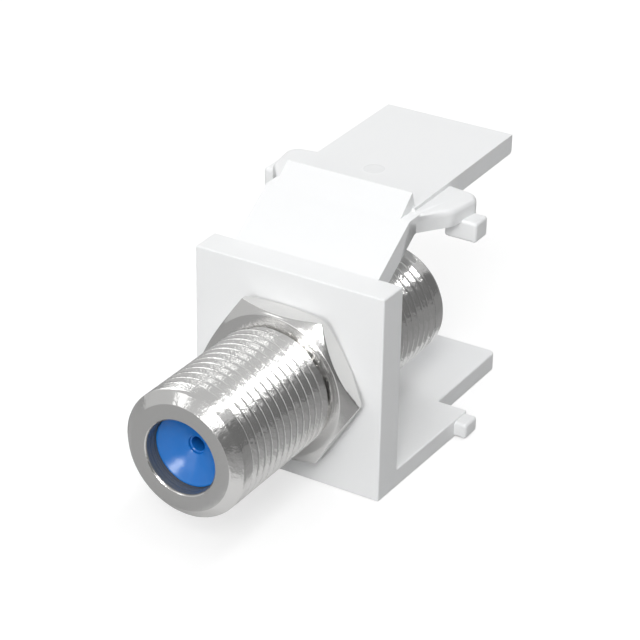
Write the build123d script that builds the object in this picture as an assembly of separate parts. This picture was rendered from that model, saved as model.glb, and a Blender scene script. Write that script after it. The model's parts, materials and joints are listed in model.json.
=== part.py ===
from build123d import *
from math import cos, radians, sin, sqrt, tan
import os

# F connector coupler in a snap-in wall-plate insert, in millimetres.
# +Y runs from the front port to the rear port, +Z is up and +X is to the right seen from the front.
# The origin is on the coupler's axis, in the plane of the plate's front face.

# Coupler body: a 3/8-32 thread at both ends, drawn here as plain ring grooves at its pitch, not as a helix.
# A plain land at each mouth, where a plug's nut starts, leads to the grooves.
# Inside the plate and the nut it is drawn at its pitch radius, where the nut's own thread meets it.
thread_radius = 4.72
thread_depth = 0.46
thread_pitch = 0.794
thread_crest = 0.25
thread_relief = 0.4
thread_lead = 1.0
front_length = 13.3
rear_length = 14.7
end_bevel_radial = 0.8
front_bevel_axial = 0.7
rear_bevel_axial = 0.5
bore_radius = 2.72
bore_bevel = 0.12
web_radius = 2.1
web_length = 1.6

# Hex flange of the coupler body. The bevels are the angles of the cones that cut its corners.
flange_flats = 11.25
flange_thickness = 1.9
flange_face_radius = 5.45
flange_front_bevel = 40.0
flange_rear_bevel = 30.0
flange_turn = 1.5
cone_margin = 0.2

# Slack for picking a corner by its place
match_slack = 0.01

# Insulators, pressed in from both ends against the web
insulator_inset = 1.15
insulator_clearance = 0.02
funnel_rim = 0.12
funnel_depth = 0.85
wire_hole_radius = 0.65
wire_hole_length = 1.5

# Centre contact: a split tube with a collar that is trapped between the insulators
contact_radius = 0.9
contact_bore_radius = 0.42
contact_clearance = 0.05
contact_inset = 0.25
contact_slot_width = 0.3
contact_slot_length = 4.5
collar_radius = 1.6
collar_clearance = 0.05

# Retaining nut behind the plate
nut_flats = 11.1
nut_thickness = 2.2
nut_clearance = 0.02
nut_turn = 9.0
nut_bevel = 30.0

# Moulded plate with its bottom arm and tongue
plate_half_width = 7.65
plate_top = 8.1
plate_bottom = -7.9
plate_thickness = 2.5
plate_hole_clearance = 0.06
arm_reach = 12.6
arm_thickness = 1.46
arm_rear_half_width = 7.92
tongue_half_width = 5.5
tongue_reach = 21.85
tongue_corner_radius = 0.55
edge_radius = 0.12

# Side pegs: a lower pair on the bottom arm and an upper pair under the latch's lobes, one above the other
peg_reach = 1.2
peg_root = 0.6
peg_front = 10.72
peg_rear = 12.5
peg_edge_radius = 0.25
lower_peg_lift = 0.1
lower_peg_height = 1.2
upper_peg_inner = 6.3
upper_peg_drop = 1.4
upper_peg_overlap = 0.15

# Latch: a sloping arm that rises from the plate's rear top edge
latch_half_width = 5.85
latch_foot = 2.2
latch_angle = 33.5
latch_thickness = 1.5
latch_root = 1.0
root_gap = 0.12

# Ridge at the top of the arm, and the finger tab behind it
ridge_half_width = 5.1
ridge_start = 6.6
ridge_reach = 8.05
ridge_top = 12.3
ridge_foot = 8.5
tab_half_width = 5.33
tab_top_front = 11.15
tab_top_rear = 11.4
tab_reach = 22.9
tab_thickness = 1.5
tab_corner_radius = 0.3

# Lobes at both sides of the ridge, seen from above
lobe_top = 10.9
lobe_bottom = 9.62
lobe_start = 7.45
lobe_shoulder_x = 7.5
lobe_shoulder_y = 9.8
lobe_corner_x = 8.02
lobe_corner_y = 13.15
lobe_rear = 13.55
lobe_shoulder_radius = 1.6
lobe_corner_radius = 1.1
lobe_upper_edge_radius = 0.45

# Places that follow from the sizes
front_end = -front_length
rear_end = rear_length
web_front = (front_end + rear_end - web_length) / 2
web_rear = web_front + web_length
pitch_radius = thread_radius - thread_depth / 2
front_thread_start = front_end + front_bevel_axial
rear_thread_start = rear_end - rear_bevel_axial
nut_rear = plate_thickness + nut_thickness
arm_top = plate_bottom + arm_thickness
peg_outer = plate_half_width + peg_reach


def turned(outline):
    """A solid turned about the Y axis from (radius, y) points."""
    return revolve(make_face(Polyline(*outline, close=True)), Axis.Y)


def round_bar(radius, low, high):
    """A plain round bar on the Y axis."""
    return turned([(0, low), (radius, low), (radius, high), (0, high)])


def hexagon(flats, low, high, face_radius, low_bevel, high_bevel, turn):
    """A hexagonal prism on the Y axis with its corners bevelled at both faces, a flat on top."""
    outer_radius = flats / sqrt(3) + cone_margin
    run = outer_radius - face_radius
    low_drop = run * tan(radians(low_bevel))
    high_drop = run * tan(radians(high_bevel))
    sketch = Plane.XZ.offset(-low) * RegularPolygon(flats / 2, 6, major_radius=False)
    prism = extrude(sketch, -(high - low))
    envelope = turned([
        (0, low),
        (face_radius, low),
        (outer_radius, low + low_drop),
        (outer_radius, high - high_drop),
        (face_radius, high),
        (0, high),
    ])
    return (prism & envelope).rotate(Axis.Y, turn)


def side_profile(points, half_width):
    """A solid with a (y, z) outline that reaches half_width to both sides."""
    face = Plane.YZ * make_face(Polyline(*points, close=True))
    return extrude(face, half_width, both=True)


def plan_profile(right_side, low, high):
    """A solid between two heights whose plan has the (x, y) points of its right side on both sides."""
    left_side = [(-x, y) for x, y in reversed(right_side)]
    face = make_face(Polyline(*right_side, *left_side, close=True))
    return extrude(Pos(0, 0, low) * face, high - low)


def block(x_low, x_high, y_low, y_high, z_low, z_high):
    """A rectangular block between its low and high corners."""
    size = (x_high - x_low, y_high - y_low, z_high - z_low)
    place = ((x_low + x_high) / 2, (y_low + y_high) / 2, (z_low + z_high) / 2)
    return Pos(*place) * Box(*size)


def both_sides(piece):
    """The piece and its mirror image across the middle plane."""
    return [piece, mirror(piece, Plane.YZ)]


def thread_grooves(low, high):
    """The (radius, y) points of the V grooves between two places on a crest cylinder, centred between them."""
    count = int((high - low - thread_crest) / thread_pitch)
    start = (low + high - count * thread_pitch) / 2
    half_groove = (thread_pitch - thread_crest) / 2
    points = []
    for index in range(count):
        middle = start + (index + 0.5) * thread_pitch
        points.append((thread_radius, middle - half_groove))
        points.append((thread_radius - thread_depth, middle))
        points.append((thread_radius, middle + half_groove))
    return points


def barrel_body():
    """Turned coupler body with its hex flange and a stepped through bore."""
    shell = turned([
        (0, front_end),
        (thread_radius - end_bevel_radial, front_end),
        (thread_radius, front_thread_start),
        *thread_grooves(front_thread_start + thread_lead, -flange_thickness - thread_relief),
        (thread_radius, 0),
        (pitch_radius, 0),
        (pitch_radius, nut_rear),
        (thread_radius, nut_rear),
        *thread_grooves(nut_rear + thread_relief, rear_thread_start - thread_lead),
        (thread_radius, rear_thread_start),
        (thread_radius - end_bevel_radial, rear_end),
        (0, rear_end),
    ])
    flange = hexagon(
        flange_flats, -flange_thickness, 0, flange_face_radius,
        flange_front_bevel, flange_rear_bevel, flange_turn,
    )
    bore = turned([
        (0, front_end),
        (bore_radius + bore_bevel, front_end),
        (bore_radius, front_end + bore_bevel),
        (bore_radius, web_front),
        (web_radius, web_front),
        (web_radius, web_rear),
        (bore_radius, web_rear),
        (bore_radius, rear_end - bore_bevel),
        (bore_radius + bore_bevel, rear_end),
        (0, rear_end),
    ])
    return shell + flange - bore


def insulator(port_end, web_face):
    """Plastic insert with a funnel mouth at port_end, pressed in against the web."""
    inward = 1 if web_face > port_end else -1
    rim = port_end + inward * insulator_inset
    funnel_end = rim + inward * funnel_depth
    pocket_start = funnel_end + inward * wire_hole_length
    outer = bore_radius - insulator_clearance
    pocket = contact_radius + contact_clearance
    return turned([
        (outer, rim),
        (outer - funnel_rim, rim),
        (wire_hole_radius, funnel_end),
        (wire_hole_radius, pocket_start),
        (pocket, pocket_start),
        (pocket, web_face),
        (outer, web_face),
    ])


def centre_contact():
    """Split spring tube that takes a centre conductor at each end."""
    pocket_inset = insulator_inset + funnel_depth + wire_hole_length + contact_inset
    front = front_end + pocket_inset
    rear = rear_end - pocket_inset
    tube = round_bar(contact_radius, front, rear)
    collar = round_bar(collar_radius, web_front + collar_clearance, web_rear - collar_clearance)
    half_slot = contact_slot_width / 2
    reach = contact_radius
    contact = tube + collar - round_bar(contact_bore_radius, front, rear)
    for low, high in ((front, front + contact_slot_length), (rear - contact_slot_length, rear)):
        contact -= block(-reach, reach, low, high, -half_slot, half_slot)
        contact -= block(-half_slot, half_slot, low, high, -reach, reach)
    return contact


def retaining_nut():
    """Thin hex nut that clamps the plate against the flange."""
    blank = hexagon(nut_flats, plate_thickness, nut_rear, nut_flats / 2, 0, nut_bevel, nut_turn)
    return blank - round_bar(pitch_radius + nut_clearance, plate_thickness, nut_rear)


def along_latch(distance, depth):
    """The (y, z) point at a distance up the latch arm and a depth below its outer face."""
    slope = radians(latch_angle)
    y = latch_foot + distance * cos(slope) + depth * sin(slope)
    z = plate_top + distance * sin(slope) - depth * cos(slope)
    return (y, z)


def latch_face_at(z, depth):
    """The y where the latch arm reaches height z, at a depth below its outer face."""
    slope = radians(latch_angle)
    return latch_foot + (z - plate_top + depth / cos(slope)) / tan(slope)


def insert_housing():
    """Front plate, bottom arm, tongue, lower pegs and the fixed root of the latch."""
    frame = side_profile([
        (0, plate_top),
        (0, plate_bottom),
        (arm_reach, plate_bottom),
        (arm_reach, arm_top),
        (plate_thickness, arm_top),
        (plate_thickness, plate_top),
    ], arm_rear_half_width)
    frame &= plan_profile([(plate_half_width, 0), (arm_rear_half_width, arm_reach)], plate_bottom, plate_top)
    tongue = block(
        -tongue_half_width, tongue_half_width, plate_thickness, tongue_reach, plate_bottom, arm_top
    )
    tongue = fillet(tongue.edges().filter_by(Axis.Z).group_by(Axis.Y)[-1], tongue_corner_radius)
    frame += tongue
    frame = fillet(frame.edges(), edge_radius)
    peg_bottom = plate_bottom + lower_peg_lift
    peg = block(
        plate_half_width - peg_root, peg_outer,
        peg_front, peg_rear, peg_bottom, peg_bottom + lower_peg_height,
    )
    peg = fillet(peg.edges(), peg_edge_radius)
    into_plate = -plate_thickness / 2
    root = side_profile([
        along_latch(into_plate, latch_thickness),
        along_latch(latch_root - root_gap / 2, latch_thickness),
        along_latch(latch_root - root_gap / 2, 0),
        along_latch(0, 0),
    ], latch_half_width)
    housing = frame + both_sides(peg) + root
    hole = round_bar(thread_radius + plate_hole_clearance, 0, plate_thickness)
    return housing - hole


def latch_arm():
    """Sloping arm with its ridge, finger tab, side lobes and side pegs."""
    split = latch_root + root_gap / 2
    lobe_meets_arm = latch_face_at(lobe_bottom, latch_thickness)
    arm = side_profile([
        along_latch(split, latch_thickness),
        (lobe_meets_arm, lobe_bottom),
        (ridge_foot, lobe_bottom),
        (ridge_foot, lobe_top),
        (latch_face_at(lobe_top, 0), lobe_top),
        along_latch(split, 0),
    ], latch_half_width)
    ridge = side_profile([
        (latch_face_at(lobe_top, 0), lobe_top),
        along_latch((ridge_start - latch_foot) / cos(radians(latch_angle)), 0),
        (ridge_reach, ridge_top),
        (ridge_foot, tab_top_front),
        (ridge_foot, lobe_bottom),
    ], ridge_half_width)
    tab = side_profile([
        (ridge_reach, tab_top_front - tab_thickness),
        (tab_reach, tab_top_rear - tab_thickness),
        (tab_reach, tab_top_rear),
        (ridge_reach, tab_top_front),
    ], tab_half_width)
    tab_lower_rear = tab.edges().filter_by(Axis.X).group_by(Axis.Y)[-1].sort_by(Axis.Z)[0]
    tab = fillet(tab_lower_rear, tab_corner_radius)

    right = [
        (tab_half_width, lobe_rear),
        (lobe_corner_x, lobe_corner_y),
        (lobe_shoulder_x, lobe_shoulder_y),
        (latch_half_width, lobe_start),
    ]
    left = [(-x, y) for x, y in reversed(right)]
    plan = make_face(Polyline(*right, *left, close=True))
    plan = fillet([v for v in plan.vertices() if abs(v.Y - lobe_corner_y) < match_slack], lobe_corner_radius)
    plan = fillet([v for v in plan.vertices() if abs(v.Y - lobe_shoulder_y) < match_slack], lobe_shoulder_radius)
    lobes = extrude(Pos(0, 0, lobe_bottom) * plan, lobe_top - lobe_bottom)
    lobes = fillet(lobes.faces().sort_by(Axis.Z)[-1].edges(), lobe_upper_edge_radius)
    peg = block(
        upper_peg_inner, peg_outer, peg_front, peg_rear,
        lobe_bottom - upper_peg_drop, lobe_bottom + upper_peg_overlap,
    )
    peg = fillet(peg.edges(), peg_edge_radius)
    return arm + ridge + tab + lobes + both_sides(peg)


pieces = {
    "insert_housing": insert_housing(),
    "latch_arm": latch_arm(),
    "barrel_body": barrel_body(),
    "front_insulator": insulator(front_end, web_front),
    "rear_insulator": insulator(rear_end, web_rear),
    "centre_contact": centre_contact(),
    "retaining_nut": retaining_nut(),
}

for name, piece in pieces.items():
    export_step(piece, "parts/" + name + ".step")
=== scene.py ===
import json
import math

import bmesh
import bpy
from mathutils import Matrix, Vector


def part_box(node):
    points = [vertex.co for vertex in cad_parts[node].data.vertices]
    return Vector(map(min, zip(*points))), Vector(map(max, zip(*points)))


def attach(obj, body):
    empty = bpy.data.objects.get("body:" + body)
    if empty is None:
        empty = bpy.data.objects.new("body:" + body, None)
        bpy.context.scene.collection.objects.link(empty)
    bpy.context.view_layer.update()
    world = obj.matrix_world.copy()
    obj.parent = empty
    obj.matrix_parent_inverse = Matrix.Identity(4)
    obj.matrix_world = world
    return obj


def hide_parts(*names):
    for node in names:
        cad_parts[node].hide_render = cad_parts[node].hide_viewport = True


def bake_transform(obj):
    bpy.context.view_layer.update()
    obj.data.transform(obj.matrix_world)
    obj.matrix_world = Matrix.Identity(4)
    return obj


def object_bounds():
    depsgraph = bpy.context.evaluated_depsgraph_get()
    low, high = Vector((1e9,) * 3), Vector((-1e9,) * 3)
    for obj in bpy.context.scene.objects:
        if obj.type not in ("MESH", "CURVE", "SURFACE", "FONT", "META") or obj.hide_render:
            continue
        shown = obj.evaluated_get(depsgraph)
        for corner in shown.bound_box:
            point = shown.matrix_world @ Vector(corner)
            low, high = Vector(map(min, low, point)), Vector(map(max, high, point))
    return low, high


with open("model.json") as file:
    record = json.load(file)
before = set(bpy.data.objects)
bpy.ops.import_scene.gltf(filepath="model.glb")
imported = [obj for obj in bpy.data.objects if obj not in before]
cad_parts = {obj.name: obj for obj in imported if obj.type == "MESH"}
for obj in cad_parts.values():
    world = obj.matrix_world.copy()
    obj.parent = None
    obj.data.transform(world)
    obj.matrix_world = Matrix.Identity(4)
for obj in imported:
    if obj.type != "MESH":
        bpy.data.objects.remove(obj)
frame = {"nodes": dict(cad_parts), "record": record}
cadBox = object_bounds()

mm = 0.001                     # shapes are made in millimetres and scaled at the end
weldReach = 0.0005             # vertices as near as this, in millimetres, become one
scene = bpy.context.scene
yAxis = Vector((0.0, 1.0, 0.0))


# shared mesh helpers

def spread(vert):              # (distance from the barrel's axis, height along it)
    return math.hypot(vert.co.x, vert.co.z), vert.co.y


def place(vert, radius, y):
    across = Vector((vert.co.x, 0.0, vert.co.z)).normalized() * radius
    vert.co = (across.x, y, across.z)


def openLoop(bm, y, slack=0.02):
    return [e for e in bm.edges if e.is_boundary and all(abs(v.co.y - y) < slack for v in e.verts)]


def nextRing(bm, edges, radius, y):
    grown = bmesh.ops.extrude_edge_only(bm, edges=edges)["geom"]
    for vert in [g for g in grown if isinstance(g, bmesh.types.BMVert)]:
        place(vert, radius, y)
    return [g for g in grown if isinstance(g, bmesh.types.BMEdge)]


def runRings(bm, edges, points):
    for radius, y in points:
        edges = nextRing(bm, edges, radius, y)
    return edges


def bevelEdges(bm, edges, width, segments=2):
    bmesh.ops.bevel(bm, geom=edges, offset=width, offset_type="OFFSET", affect="EDGES", segments=segments,
                    profile=0.5, material=-1, clamp_overlap=True)


def sharpEdges(bm, degrees):
    limit = math.radians(degrees)
    return [e for e in bm.edges if len(e.link_faces) == 2 and e.calc_face_angle(0.0) > limit]


def finishPiece(bm, name, material, sharpAbove=None):    # edges above that many degrees stay sharp
    bmesh.ops.remove_doubles(bm, verts=bm.verts, dist=weldReach)
    bmesh.ops.recalc_face_normals(bm, faces=bm.faces)
    for face in bm.faces:
        face.smooth = True
    if sharpAbove:
        for edge in sharpEdges(bm, sharpAbove):
            edge.smooth = False
    bmesh.ops.scale(bm, vec=(mm, mm, mm), verts=bm.verts)
    mesh = bpy.data.meshes.new(name)
    bm.to_mesh(mesh)
    bm.free()
    piece = bpy.data.objects.new(name, mesh)
    scene.collection.objects.link(piece)
    mesh.materials.append(material)
    even = piece.modifiers.new("evenNormals", "WEIGHTED_NORMAL")
    even.keep_sharp = True
    even.weight = 100
    return piece


# shared material helpers

def newMaterial(name, colour, metallic, *roughness):
    # one roughness, or the two ends of the range that its grain runs through
    material = bpy.data.materials.new(name)
    material.use_nodes = True
    shader = material.node_tree.nodes["Principled BSDF"]
    shader.inputs["Base Color"].default_value = (*colour, 1.0)
    shader.inputs["Metallic"].default_value = metallic
    shader.inputs["Roughness"].default_value = sum(roughness) / len(roughness)
    return material, material.node_tree, shader


def addNode(tree, kind, **settings):
    node = tree.nodes.new(kind)
    for key, value in settings.items():
        if key in node.inputs:
            node.inputs[key].default_value = value
        else:
            setattr(node, key, value)
    return node


def grain(tree, size, detail=2.0, stretch=(1.0, 1.0, 1.0)):   # noise with features about size mm wide
    coords = addNode(tree, "ShaderNodeTexCoord")
    mapping = addNode(tree, "ShaderNodeMapping")
    mapping.inputs["Scale"].default_value = stretch
    noise = addNode(tree, "ShaderNodeTexNoise", Scale=1.0 / (size * mm), Detail=detail)
    tree.links.new(coords.outputs["Object"], mapping.inputs["Vector"])
    tree.links.new(mapping.outputs["Vector"], noise.inputs["Vector"])
    return noise.outputs["Fac"]


def axisDistance(tree, middle=(0.0, 0.0, 0.0), keep=(1.0, 0.0, 1.0)):
    # how far a point lies from the middle along the kept axes, by default from the barrel's axis
    coords = addNode(tree, "ShaderNodeTexCoord")
    moved = addNode(tree, "ShaderNodeVectorMath", operation="SUBTRACT")
    moved.inputs[1].default_value = [c * mm for c in middle]
    flat = addNode(tree, "ShaderNodeVectorMath", operation="MULTIPLY")
    flat.inputs[1].default_value = keep
    length = addNode(tree, "ShaderNodeVectorMath", operation="LENGTH")
    tree.links.new(coords.outputs["Object"], moved.inputs[0])
    tree.links.new(moved.outputs["Vector"], flat.inputs[0])
    tree.links.new(flat.outputs["Vector"], length.inputs[0])
    return length.outputs["Value"]


def lineGrain(tree, value, size):      # noise that only changes with value, as turning marks do
    noise = addNode(tree, "ShaderNodeTexNoise", noise_dimensions="1D", Scale=1.0 / (size * mm), Detail=1.0)
    tree.links.new(value, noise.inputs["W"])
    return noise.outputs["Fac"]


def bump(tree, height, strength, depth, before=None):   # the depth is in millimetres
    node = addNode(tree, "ShaderNodeBump", Distance=depth * mm)
    if isinstance(strength, float):
        node.inputs["Strength"].default_value = strength
    else:
        tree.links.new(strength, node.inputs["Strength"])
    tree.links.new(height, node.inputs["Height"])
    if before:
        tree.links.new(before, node.inputs["Normal"])
    return node.outputs["Normal"]


def stepped(tree, value, start, end, interpolation="SMOOTHSTEP"):   # 0 at start, 1 at end, in millimetres
    node = addNode(tree, "ShaderNodeMapRange", interpolation_type=interpolation)
    node.inputs["From Min"].default_value = start * mm
    node.inputs["From Max"].default_value = end * mm
    tree.links.new(value, node.inputs["Value"])
    return node.outputs["Result"]


def alongDirection(tree, direction):   # how far a point lies along a direction, in metres
    coords = addNode(tree, "ShaderNodeTexCoord")
    node = addNode(tree, "ShaderNodeVectorMath", operation="DOT_PRODUCT")
    node.inputs[1].default_value = direction
    tree.links.new(coords.outputs["Object"], node.inputs[0])
    return node.outputs["Value"]


def times(tree, first, second):
    node = addNode(tree, "ShaderNodeMath", operation="MULTIPLY")
    for value, socket in zip((first, second), node.inputs):
        if isinstance(value, float):
            socket.default_value = value
        else:
            tree.links.new(value, socket)
    return node.outputs["Value"]


def mixed(tree, factor, low, high):    # numbers, colours or outputs of other nodes
    isColour = any(isinstance(end, tuple) for end in (low, high))
    node = addNode(tree, "ShaderNodeMix", data_type="RGBA" if isColour else "FLOAT")
    tree.links.new(factor, node.inputs["Factor"])
    for end, socket in ((low, "A"), (high, "B")):
        if isinstance(end, tuple):
            node.inputs[socket].default_value = (*end, 1.0)
        elif isinstance(end, float):
            node.inputs[socket].default_value = end
        else:
            tree.links.new(end, node.inputs[socket])
    return node.outputs["Result"]


def spanned(tree, value, low, high):   # a 0 to 1 value turned into a range
    node = addNode(tree, "ShaderNodeMapRange")
    node.inputs["To Min"].default_value = low
    node.inputs["To Max"].default_value = high
    tree.links.new(value, node.inputs["Value"])
    return node.outputs["Result"]


# white moulding: one smooth skin over the housing and the latch, which are one piece of plastic

moulding = {
    "latchSlope": 33.5,
    "splitReach": 0.06,        # half the gap between the two nodes at the latch's root
    "splitSlack": 0.02,
    "splitFacing": 0.99,       # how squarely the gap's two walls face along the latch
    "splitHeight": 1.0,
    "flatAngle": 0.6,
    "latchEdge": 0.07,
    "latchEdgeAngle": 60,
    "latchEdgeFrom": 0.5,      # how far beyond the gap the broken edges start, and how high
    "latchEdgeAbove": 8.15,
    "bendCuts": 6,
    "bendStart": (0.0, 2.90, 7.91),
    "bendEnd": (0.0, 3.55, 9.04),
    "sharpAbove": 70,
    "colour": (0.86, 0.868, 0.872),
    "roughness": (0.31, 0.41),
    # each grain is (size, detail), each bump (strength, depth)
    "fineGrain": (0.16, 3.0),
    "fineBump": (0.12, 0.01),
    "broadGrain": (2.4, 1.0),
    "broadBump": (0.2, 0.05),
    "tabMark": {"middle": (-0.35, 12.2, 11.2), "keep": (1.0, 1.0, 0.6), "radius": 0.8, "blur": 0.25,
                "roughness": 0.2, "bump": (0.4, 0.04)},
}


def makeMouldingMaterial(dims):
    material, tree, shader = newMaterial("whitePlastic", dims["colour"], 0.0, *dims["roughness"])
    fine = grain(tree, *dims["fineGrain"])
    broad = grain(tree, *dims["broadGrain"])
    mark = dims["tabMark"]
    reach = axisDistance(tree, mark["middle"], mark["keep"])
    onMark = stepped(tree, reach, mark["radius"] + mark["blur"], mark["radius"] - mark["blur"])
    polish = mixed(tree, onMark, spanned(tree, broad, *dims["roughness"]), mark["roughness"])
    tree.links.new(polish, shader.inputs["Roughness"])
    normal = bump(tree, fine, *dims["fineBump"])
    normal = bump(tree, onMark, *mark["bump"], normal)
    normal = bump(tree, broad, *dims["broadBump"], normal)
    tree.links.new(normal, shader.inputs["Normal"])
    return material


def makeMoulding(dims, material):
    bm = bmesh.new()
    for node in ("insert_housing", "latch_arm"):
        bm.from_mesh(frame["nodes"][node].data)
    bmesh.ops.scale(bm, vec=(1 / mm, 1 / mm, 1 / mm), verts=bm.verts)
    bmesh.ops.remove_doubles(bm, verts=bm.verts, dist=weldReach)

    slope = math.radians(dims["latchSlope"])
    along = Vector((0.0, math.cos(slope), math.sin(slope)))
    hinge = [j for j in frame["record"]["behaviour"]["joints"] if j["name"] == "latch_flex"][0]
    split = Vector(hinge["pos_m"]) / mm
    faces = []
    for face in bm.faces:
        reach = abs((face.calc_center_median() - split).dot(along))
        facing = abs(face.normal.dot(along))
        level = abs(face.calc_center_median().z - split.z)
        atSplit = abs(reach - dims["splitReach"]) < dims["splitSlack"] and level < dims["splitHeight"]
        if atSplit and facing > dims["splitFacing"]:
            faces.append(face)
    bmesh.ops.delete(bm, geom=faces, context="FACES")
    loops = [e for e in bm.edges if e.is_boundary]
    bmesh.ops.bridge_loops(bm, edges=loops)
    flat = math.radians(dims["flatAngle"])
    bmesh.ops.dissolve_limit(bm, angle_limit=flat, verts=bm.verts, edges=bm.edges)

    def onLatch(edge):
        return all((v.co - split).dot(along) > dims["latchEdgeFrom"] and v.co.z > dims["latchEdgeAbove"]
                   for v in edge.verts)

    latchSide = [e for e in sharpEdges(bm, dims["latchEdgeAngle"]) if onLatch(e)]
    bevelEdges(bm, latchSide, dims["latchEdge"])

    # rows of vertices across the root of the latch
    start, end = Vector(dims["bendStart"]), Vector(dims["bendEnd"])
    across = (end - start).normalized()
    for cut in range(dims["bendCuts"] + 1):
        point = start.lerp(end, cut / dims["bendCuts"])
        geom = list(bm.verts) + list(bm.edges) + list(bm.faces)
        bmesh.ops.bisect_plane(bm, geom=geom, dist=0.0001, plane_co=point, plane_no=across)

    piece = finishPiece(bm, "white_moulding", material, dims["sharpAbove"])
    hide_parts("insert_housing", "latch_arm")
    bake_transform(piece)
    return piece


# coupler body: nickel plated, one turned piece with a hex flange and both threads

coupler = {
    "steps": 96,               # points around
    "pitch": 0.794,
    "threadDepth": 0.46,
    # half a thread, from the middle of its crest to its root: (share of the pitch, share of the depth)
    "profile": ((0.0, 0.0), (0.13, 0.0), (0.19, 0.08), (0.45, 0.95), (0.5, 1.0)),
    "reliefLength": 0.26,
    "reliefEnd": 0.12,         # this near to its inner end the thread is fully cut away
    "reliefDepth": 0.5,
    "lead": 0.9,               # the plain land between the bevel and the first groove
    "leadFade": 0.12,
    "frontBevel": (0.8, 0.7),  # radial, axial
    "rearBevel": (0.8, 0.5),
    "boreRadius": 2.72,
    "boreBevel": 0.12,
    "webRadius": 2.1,
    "webLength": 1.6,
    "flangeFlats": 11.25,
    "flangeThickness": 1.9,
    "flangeFaceRadius": 5.45,
    "flangeBevels": (40.0, 30.0),
    "flangeTurn": 1.5,
    "plateThickness": 2.5,
    "nutThickness": 2.2,
    "frontPhase": 0.78,        # of a pitch
    "rearPhase": 0.0,
    "edge": 0.05,
    "rimEdge": 0.03,
    "edgeAngle": 22,
    "sharpAbove": 62,
    "sleeveWeld": 0.004,
    "weld": 0.003,
}


def smooth(low, high, value):
    t = min(max((value - low) / (high - low), 0.0), 1.0)
    return t * t * (3 - 2 * t)


def threadSleeve(bm, dims, radius, outerY, innerY, bevelSize, innerRadius, phase):
    # a helix between outerY, the bevelled free end, and innerY, where it fades into innerRadius
    low, high = min(outerY, innerY), max(outerY, innerY)
    turns = int(math.ceil((high - low) / dims["pitch"]) + 3)
    first = low - dims["pitch"] * (1.0 + phase)
    half = dims["profile"]
    wholeThread = [(-share, drop) for share, drop in reversed(half[1:-1])] + list(half)
    verts = []
    for turn in range(turns):
        for share, drop in wholeThread:
            y = first + (turn + share) * dims["pitch"]
            verts.append(bm.verts.new((0.0, y, radius - dims["threadDepth"] * drop)))
    edges = [bm.edges.new(pair) for pair in zip(verts, verts[1:])]
    step = dims["pitch"] / dims["steps"]
    bmesh.ops.spin(bm, geom=verts + edges, cent=(0, 0, 0), axis=yAxis, dvec=(0, -step, 0),
                   angle=2 * math.pi, steps=dims["steps"], use_merge=False, use_duplicate=False)
    sleeve = set(verts)
    for face in {f for v in verts for f in v.link_faces}:
        sleeve.update(face.verts)
    todo = list(sleeve)
    while todo:
        vert = todo.pop()
        for edge in vert.link_edges:
            other = edge.other_vert(vert)
            if other not in sleeve:
                sleeve.add(other)
                todo.append(other)
    inward = 1 if innerY > outerY else -1
    radial, axial = bevelSize
    for vert in sleeve:
        r, y = spread(vert)
        y = min(max(y, low), high)
        fromEnd = (y - outerY) * inward
        grooved = smooth(0.0, dims["leadFade"], fromEnd - axial - dims["lead"])
        r = radius + (r - radius) * grooved
        r = min(r, radius - radial + fromEnd * radial / axial)
        fade = smooth(dims["reliefLength"], dims["reliefEnd"], (innerY - y) * inward)
        r += (innerRadius - r) * fade
        place(vert, r, y)
    bmesh.ops.remove_doubles(bm, verts=list(sleeve), dist=dims["sleeveWeld"])


def hexRadius(flats, angle):
    turn = (math.degrees(angle) - 60.0) % 60.0 - 30.0
    return flats / 2 / math.cos(math.radians(turn))


def hexRing(bm, edges, flats, faceRadius, y, direction, bevelAngle):
    # a ring on the hexagon's sides where a bevel cone cuts them
    grown = bmesh.ops.extrude_edge_only(bm, edges=edges)["geom"]
    for vert in [g for g in grown if isinstance(g, bmesh.types.BMVert)]:
        r = hexRadius(flats, math.atan2(vert.co.z, vert.co.x))
        drop = max(r - faceRadius, 0.0) * math.tan(math.radians(bevelAngle))
        place(vert, r, y + direction * drop)
    return [g for g in grown if isinstance(g, bmesh.types.BMEdge)]


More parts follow.
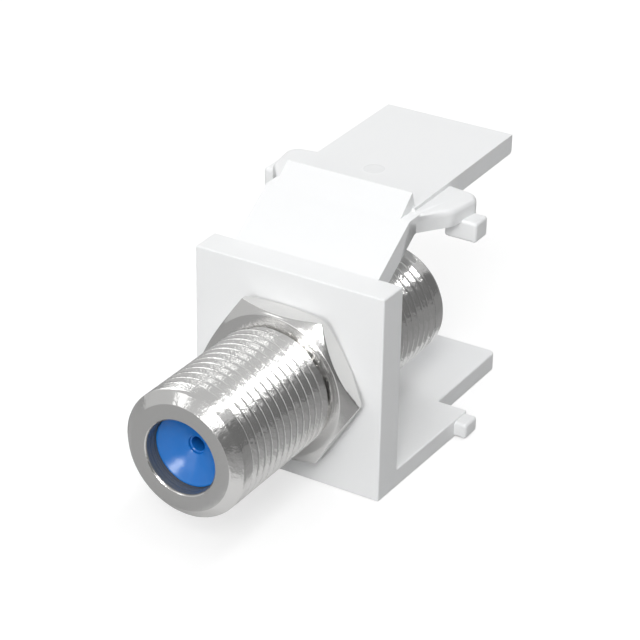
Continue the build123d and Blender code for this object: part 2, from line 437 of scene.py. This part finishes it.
def makeCoupler(dims, material):
    low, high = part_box("barrel_body")
    threadRadius = frame["record"]["mounts"][1]["dims"]["r_mm"]
    frontEnd, rearEnd = low.y / mm, high.y / mm
    flangeFace = -dims["flangeThickness"]
    plainRadius = threadRadius - dims["threadDepth"] / 2
    rearStart = dims["plateThickness"] + dims["nutThickness"] - dims["reliefLength"]

    bm = bmesh.new()
    threadSleeve(bm, dims, threadRadius, frontEnd, flangeFace, dims["frontBevel"],
                 threadRadius - dims["reliefDepth"], dims["frontPhase"])
    threadSleeve(bm, dims, threadRadius, rearEnd, rearStart, dims["rearBevel"],
                 plainRadius, dims["rearPhase"])

    bore, boreEdge = dims["boreRadius"], dims["boreRadius"] + dims["boreBevel"]
    webFront = (frontEnd + rearEnd - dims["webLength"]) / 2
    webRear = webFront + dims["webLength"]
    runRings(bm, openLoop(bm, frontEnd), [
        (boreEdge, frontEnd), (bore, frontEnd + dims["boreBevel"]),
        (bore, webFront), (dims["webRadius"], webFront),
        (dims["webRadius"], webRear), (bore, webRear),
        (bore, rearEnd - dims["boreBevel"]), (boreEdge, rearEnd),
        (threadRadius - dims["rearBevel"][0], rearEnd),
    ])

    flats, face = dims["flangeFlats"], dims["flangeFaceRadius"]
    edges = nextRing(bm, openLoop(bm, flangeFace), face, flangeFace)
    edges = hexRing(bm, edges, flats, face, flangeFace, 1, dims["flangeBevels"][0])
    edges = hexRing(bm, edges, flats, face, 0.0, -1, dims["flangeBevels"][1])
    runRings(bm, edges, [(face, 0.0), (plainRadius, 0.0), (plainRadius, rearStart)])
    bmesh.ops.remove_doubles(bm, verts=bm.verts, dist=dims["weld"])

    def onFlange(edge):
        return all(spread(v)[0] > face - 0.05 and v.co.y < -0.05 for v in edge.verts)

    def onRim(edge):
        isInside = all(spread(v)[0] < threadRadius - 0.6 for v in edge.verts)
        return isInside and all(v.co.y < frontEnd + 0.2 or v.co.y > rearEnd - 0.2 for v in edge.verts)

    for isChosen, width in ((onFlange, dims["edge"]), (onRim, dims["rimEdge"])):
        bevelEdges(bm, [e for e in sharpEdges(bm, dims["edgeAngle"]) if isChosen(e)], width)
    turn = Matrix.Rotation(math.radians(dims["flangeTurn"]), 3, "Y")
    bmesh.ops.rotate(bm, cent=(0, 0, 0), matrix=turn, verts=bm.verts)
    piece = finishPiece(bm, "coupler_body", material, dims["sharpAbove"])
    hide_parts("barrel_body")
    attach(piece, "housing")
    return piece


nickel = {
    "colour": (0.8, 0.795, 0.785),
    "boreShadeColour": (0.2, 0.195, 0.18),   # the drilled walls inside are dull, with turning marks, and their dark colour is painted shade inside the bore
    "boreMetal": 0.4,
    "boreReach": (2.74, 2.8),
    "roughness": (0.12, 0.2),
    "boreRoughness": 0.32,
    "boreMarks": 0.14,
    "boreMarkDepth": 0.05,
    "threadReach": (5.0, 4.85),        # the turned flange is smoother than the threads
    # each grain is (size, detail), each bump (strength, depth)
    "mottle": (0.42, 2.0),
    "mottleStrength": (0.22, 0.5),      # on the flange and on the threads
    "mottleDepth": 0.05,
    "scratch": (0.07, 3.0),
    "scratchBump": (0.15, 0.01),
    "ringSize": 0.09,
    "ringBump": (0.12, 0.01),
    "pittedSide": (-0.55, 0.0, 0.83),   # the plating is more uneven on the thread's upper left
    "pittedFrom": (2.6, 4.2),
    "pittedStart": (-12.7, -12.2),
    "pit": (0.18, 2.0),
    "pitDepth": 0.045,
}


def makeNickelMaterial(dims):
    material, tree, shader = newMaterial("nickelPlate", dims["colour"], 1.0, *dims["roughness"])
    mottle = grain(tree, *dims["mottle"])
    scratch = grain(tree, *dims["scratch"])
    rings = lineGrain(tree, axisDistance(tree), dims["ringSize"])
    outside = stepped(tree, axisDistance(tree), *dims["boreReach"])
    inside = stepped(tree, axisDistance(tree), *reversed(dims["boreReach"]))
    # painted shade: the bore's walls get a dark colour for the shade inside the bore
    shade = mixed(tree, outside, dims["boreShadeColour"], dims["colour"])
    tree.links.new(shade, shader.inputs["Base Color"])
    tree.links.new(spanned(tree, outside, dims["boreMetal"], 1.0), shader.inputs["Metallic"])
    outer = spanned(tree, mottle, *dims["roughness"])
    tree.links.new(mixed(tree, outside, dims["boreRoughness"], outer), shader.inputs["Roughness"])

    onThread = stepped(tree, axisDistance(tree), *dims["threadReach"])
    pitted = times(tree, stepped(tree, alongDirection(tree, dims["pittedSide"]), *dims["pittedFrom"]),
                   stepped(tree, alongDirection(tree, yAxis), *dims["pittedStart"]))
    pitted = times(tree, pitted, onThread)
    normal = bump(tree, grain(tree, *dims["pit"]), pitted, dims["pitDepth"])
    turned = lineGrain(tree, alongDirection(tree, yAxis), dims["boreMarks"])
    normal = bump(tree, turned, inside, dims["boreMarkDepth"], normal)
    strength = spanned(tree, onThread, *dims["mottleStrength"])
    normal = bump(tree, mottle, strength, dims["mottleDepth"], normal)
    normal = bump(tree, scratch, *dims["scratchBump"], normal)
    normal = bump(tree, rings, *dims["ringBump"], normal)
    tree.links.new(normal, shader.inputs["Normal"])
    return material


# retaining nut behind the plate

nut = {
    "flats": 11.1,
    "bevel": 30.0,
    "turn": 9.0,
    "boreClearance": 0.02,
    "countersink": 0.35,
    "edge": 0.05,
}


def makeNut(dims, body, material):
    low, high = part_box("retaining_nut")
    front, rear = low.y / mm, high.y / mm
    threadRadius = frame["record"]["mounts"][1]["dims"]["r_mm"]
    bore = threadRadius - body["threadDepth"] / 2 + dims["boreClearance"]
    bm = bmesh.new()
    upright = Matrix.Rotation(math.pi / 2, 4, "X")
    bmesh.ops.create_circle(bm, segments=body["steps"], radius=bore, matrix=upright)
    bmesh.ops.translate(bm, vec=(0, front, 0), verts=bm.verts)
    face = dims["flats"] / 2
    edges = nextRing(bm, list(bm.edges), face, front)
    edges = hexRing(bm, edges, dims["flats"], face, front, 1, 0.0)
    edges = hexRing(bm, edges, dims["flats"], face, rear, -1, dims["bevel"])
    runRings(bm, edges, [
        (face - 0.1, rear), (bore + dims["countersink"], rear),
        (bore, rear - dims["countersink"]), (bore, front),
    ])
    bmesh.ops.remove_doubles(bm, verts=bm.verts, dist=body["weld"])
    outer = [e for e in sharpEdges(bm, body["edgeAngle"]) if all(spread(v)[0] > bore + 0.2 for v in e.verts)]
    bevelEdges(bm, outer, dims["edge"])
    turn = Matrix.Rotation(math.radians(dims["turn"]), 3, "Y")
    bmesh.ops.rotate(bm, cent=(0, 0, 0), matrix=turn, verts=bm.verts)
    piece = finishPiece(bm, "clamp_nut", material)
    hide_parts("retaining_nut")
    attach(piece, "housing")
    return piece


# blue insulators in both ports

insulator = {
    "radius": 2.7,
    # the mouth is a shallow dish, (radius, depth), with the wire's hole in its middle
    "funnel": ((2.58, 0.0), (2.0, 0.35), (1.3, 0.67), (0.65, 0.85)),
    "ledgeDepth": 1.05,
    "ledgeRadius": 0.53,
    "holeLength": 1.5,
    "pocketRadius": 0.95,
    "edge": 0.05,
    "edgeAngle": 25,
    "weld": 0.001,
    "steps": 64,
    "colour": (0.012, 0.175, 0.58),
    "roughness": (0.15, 0.24),
    "coat": 0.3,
    "coatRoughness": 0.12,
    "cloud": (0.9, 2.0),       # (size, detail)
    "cloudBump": (0.3, 0.04),  # (strength, depth)
}


def makeInsulatorMaterial(dims):
    material, tree, shader = newMaterial("bluePlastic", dims["colour"], 0.0, *dims["roughness"])
    shader.inputs["Coat Weight"].default_value = dims["coat"]
    shader.inputs["Coat Roughness"].default_value = dims["coatRoughness"]
    cloud = grain(tree, *dims["cloud"])
    tree.links.new(spanned(tree, cloud, *dims["roughness"]), shader.inputs["Roughness"])
    tree.links.new(bump(tree, cloud, *dims["cloudBump"]), shader.inputs["Normal"])
    return material


def makeInsulator(dims, node, material):
    low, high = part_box(node)
    facesFront = node.startswith("front")
    rim, seat = (low.y / mm, high.y / mm) if facesFront else (high.y / mm, low.y / mm)
    inward = 1 if seat > rim else -1
    bm = bmesh.new()
    holeRadius, holeMouth = dims["funnel"][-1]
    ledge = rim + inward * dims["ledgeDepth"]
    holeEnd = rim + inward * (holeMouth + dims["holeLength"])
    outline = [
        (dims["radius"], rim),
        *[(radius, rim + inward * depth) for radius, depth in dims["funnel"]],
        (holeRadius, ledge),
        (dims["ledgeRadius"], ledge),
        (dims["ledgeRadius"], holeEnd),
        (dims["pocketRadius"], holeEnd),
        (dims["pocketRadius"], seat),
        (dims["radius"], seat),
    ]
    verts = [bm.verts.new((0.0, y, r)) for r, y in outline]
    edges = [bm.edges.new(pair) for pair in zip(verts, verts[1:] + verts[:1])]
    bmesh.ops.spin(bm, geom=verts + edges, cent=(0, 0, 0), axis=yAxis, dvec=(0, 0, 0), angle=2 * math.pi,
                   steps=dims["steps"], use_merge=True, use_duplicate=False)
    bmesh.ops.remove_doubles(bm, verts=bm.verts, dist=dims["weld"])
    bmesh.ops.recalc_face_normals(bm, faces=bm.faces)
    bevelEdges(bm, sharpEdges(bm, dims["edgeAngle"]), dims["edge"], 3)
    piece = finishPiece(bm, node.split("_")[0] + "_funnel", material)
    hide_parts(node)
    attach(piece, "housing")
    return piece


# centre contact keeps its own node

contact = {
    "colour": (0.7, 0.5, 0.26),
    "roughness": (0.22, 0.4),
    "drawn": (0.12, 2.0, (1.0, 0.08, 1.0)),     # (size, detail, stretch)
    "drawnBump": (0.2, 0.01),
}


def makeContactMaterial(dims):
    material, tree, shader = newMaterial("springBronze", dims["colour"], 1.0, *dims["roughness"])
    drawn = grain(tree, *dims["drawn"])
    tree.links.new(spanned(tree, drawn, *dims["roughness"]), shader.inputs["Roughness"])
    tree.links.new(bump(tree, drawn, *dims["drawnBump"]), shader.inputs["Normal"])
    return material


# photo camera, fitted to the thread, hexagon and plate, in millimetres and degrees

photoCamera = {
    "turn": 30.911,
    "rise": 27.891,
    "roll": 1.016,
    "distance": 161.59,
    "shiftRight": -2.327,
    "shiftUp": -3.889,
    "focalPixels": 2300.9,
    "imageWidth": 640,
    "sensorWidth": 36.0,
    "clipStart": 5.0,
}


def makeCamera(dims):
    turn = math.radians(dims["turn"])
    rise = math.radians(dims["rise"])
    back = Vector((math.sin(turn) * math.cos(rise), -math.cos(turn) * math.cos(rise), math.sin(rise)))
    right = Vector((math.cos(turn), math.sin(turn), 0.0))
    roll = Matrix.Rotation(math.radians(dims["roll"]), 3, back)
    right = roll @ right
    up = back.cross(right)
    eye = back * dims["distance"] - right * dims["shiftRight"] - up * dims["shiftUp"]
    data = bpy.data.cameras.new("photoCamera")
    data.sensor_width = dims["sensorWidth"]
    data.lens = dims["focalPixels"] / dims["imageWidth"] * data.sensor_width
    data.clip_start = dims["clipStart"] * mm
    camera = bpy.data.objects.new("photoCamera", data)
    scene.collection.objects.link(camera)
    turned = Matrix((right, up, back)).transposed().to_4x4()
    camera.matrix_world = Matrix.Translation(eye * mm) @ turned
    scene.camera = camera
    return camera


# floor, world and softboxes, in metres

studio = {
    "floorSize": 6.0,
    "floorGap": 0.00001,
    "floorColour": 0.46,
    "floorRoughness": 0.8,
    "cameraGlow": 0.6,         # what the camera sees on top of the floor's own light
    # the floor in reflections, with painted shade in front and far to the right: (millimetres along the
    # slant, grey), from the left to the right
    "glossSlant": (1.0, 0.3, 0.0),
    "glossShadeStops": ((-16.0, 0.38), (-8.0, 0.4), (-2.0, 0.72), (5.0, 0.74), (10.0, 0.36), (30.0, 0.26)),
    "worldLight": 0.75,        # the share of the world's shade that lights the pale surfaces
    "worldUp": 0.58,           # the studio is paler above and on the left than low on the right
    "worldRight": 0.17,
    "worldSlant": (1.0, 0.0, -0.8),
    "worldTurn": (0.06, 0.2),
    "softboxes": {
        "key": {"place": (-0.41, -0.51, 0.62), "size": (0.26, 0.26), "radiance": 0.85, "aimed": True},
        "strip": {"place": (0.165, -0.3, 0.5), "size": (0.1, 2.2), "radiance": 3.5, "aimed": False},
        "main": {"place": (0.32, -0.59, 0.6), "size": (0.22, 0.22), "radiance": 16.2, "aimed": True},
        "frontStrip": {"place": (0.09, -0.81, 0.38), "size": (0.22, 0.36), "radiance": 3.2, "aimed": True},
        "back": {"place": (-0.6, 0.4, 0.45), "size": (0.5, 0.5), "radiance": 1.3, "aimed": True},
        "lowFill": {"place": (-0.1, -0.9, 0.12), "size": (0.8, 0.3), "radiance": 0.8, "aimed": True},
        "frontLamp": {"place": (0.0, -0.89, 0.14), "size": (0.2, 0.14), "radiance": 8.5, "aimed": True},
    },
}


def makeFloor(dims):
    bm = bmesh.new()
    bmesh.ops.create_grid(bm, x_segments=2, y_segments=2, size=dims["floorSize"] / 2)
    bmesh.ops.translate(bm, vec=(0, 0, cadBox[0].z - dims["floorGap"]), verts=bm.verts)
    mesh = bpy.data.meshes.new("floor")
    bm.to_mesh(mesh)
    bm.free()
    floor = bpy.data.objects.new("floor", mesh)
    scene.collection.objects.link(floor)
    pale = (dims["floorColour"],) * 3
    material, tree, shader = newMaterial("paleFloor", pale, 0.0, dims["floorRoughness"])
    shader.inputs["Specular IOR Level"].default_value = 0.0
    path = addNode(tree, "ShaderNodeLightPath")
    glow = times(tree, path.outputs["Is Camera Ray"], dims["cameraGlow"])
    shader.inputs["Emission Color"].default_value = (1.0, 1.0, 1.0, 1.0)
    tree.links.new(glow, shader.inputs["Emission Strength"])

    # painted shade: glossy and transmission rays see the floor greyer by place, darker in front and far to
    # the right
    either = addNode(tree, "ShaderNodeMath", operation="MAXIMUM")
    tree.links.new(path.outputs["Is Glossy Ray"], either.inputs[0])
    tree.links.new(path.outputs["Is Transmission Ray"], either.inputs[1])
    stops = dims["glossShadeStops"]
    nearest, farthest = stops[0][0], stops[-1][0]
    along = stepped(tree, alongDirection(tree, dims["glossSlant"]), nearest, farthest, "LINEAR")
    ramp = addNode(tree, "ShaderNodeValToRGB")
    ramp.color_ramp.interpolation = "EASE"
    elements = ramp.color_ramp.elements
    while len(elements) < len(stops):
        elements.new(0.5)
    for element, (distance, grey) in zip(elements, stops):
        element.position = (distance - nearest) / (farthest - nearest)
        element.color = (grey, grey, grey, 1.0)
    tree.links.new(along, ramp.inputs["Fac"])
    shade = mixed(tree, either.outputs["Value"], pale, ramp.outputs["Color"])
    tree.links.new(shade, shader.inputs["Base Color"])
    mesh.materials.append(material)
    return floor


def makeLights(dims):
    world = bpy.data.worlds.new("studio")
    scene.world = world
    world.use_nodes = True
    tree = world.node_tree
    direction = addNode(tree, "ShaderNodeTexCoord")
    slant = addNode(tree, "ShaderNodeVectorMath", operation="DOT_PRODUCT")
    slant.inputs[1].default_value = dims["worldSlant"]
    grey = addNode(tree, "ShaderNodeMapRange", interpolation_type="SMOOTHSTEP")
    grey.inputs["From Min"].default_value, grey.inputs["From Max"].default_value = dims["worldTurn"]
    grey.inputs["To Min"].default_value = dims["worldUp"]
    grey.inputs["To Max"].default_value = dims["worldRight"]
    tree.links.new(direction.outputs["Generated"], slant.inputs[0])
    tree.links.new(slant.outputs["Value"], grey.inputs["Value"])
    background = tree.nodes["Background"]
    tree.links.new(grey.outputs["Result"], background.inputs["Color"])
    shown = addNode(tree, "ShaderNodeLightPath").outputs["Is Diffuse Ray"]
    tree.links.new(spanned(tree, shown, 1.0, dims["worldLight"]), background.inputs["Strength"])
    for name, box in dims["softboxes"].items():
        data = bpy.data.lights.new(name, "AREA")
        data.shape = "RECTANGLE"
        data.size, data.size_y = box["size"]
        data.energy = box["radiance"] * math.pi * box["size"][0] * box["size"][1]
        light = bpy.data.objects.new(name, data)
        scene.collection.objects.link(light)
        spot = Vector(box["place"])
        facing = spot.to_track_quat("Z", "Y").to_matrix().to_4x4() if box["aimed"] else Matrix.Identity(4)
        light.matrix_world = Matrix.Translation(spot) @ facing


whitePlastic = makeMouldingMaterial(moulding)
makeMoulding(moulding, whitePlastic)
print("moulding done")
nickelPlate = makeNickelMaterial(nickel)
makeCoupler(coupler, nickelPlate)
print("coupler body done")
makeNut(nut, coupler, nickelPlate)
bluePlastic = makeInsulatorMaterial(insulator)
for node in ("front_insulator", "rear_insulator"):
    makeInsulator(insulator, node, bluePlastic)
contactMesh = frame["nodes"]["centre_contact"].data
contactMesh.materials.clear()
contactMesh.materials.append(makeContactMaterial(contact))
print("nut, insulators and contact done")
makeCamera(photoCamera)
makeFloor(studio)
makeLights(studio)
scene.view_settings.view_transform = "Standard"
print("camera, floor and lights done")
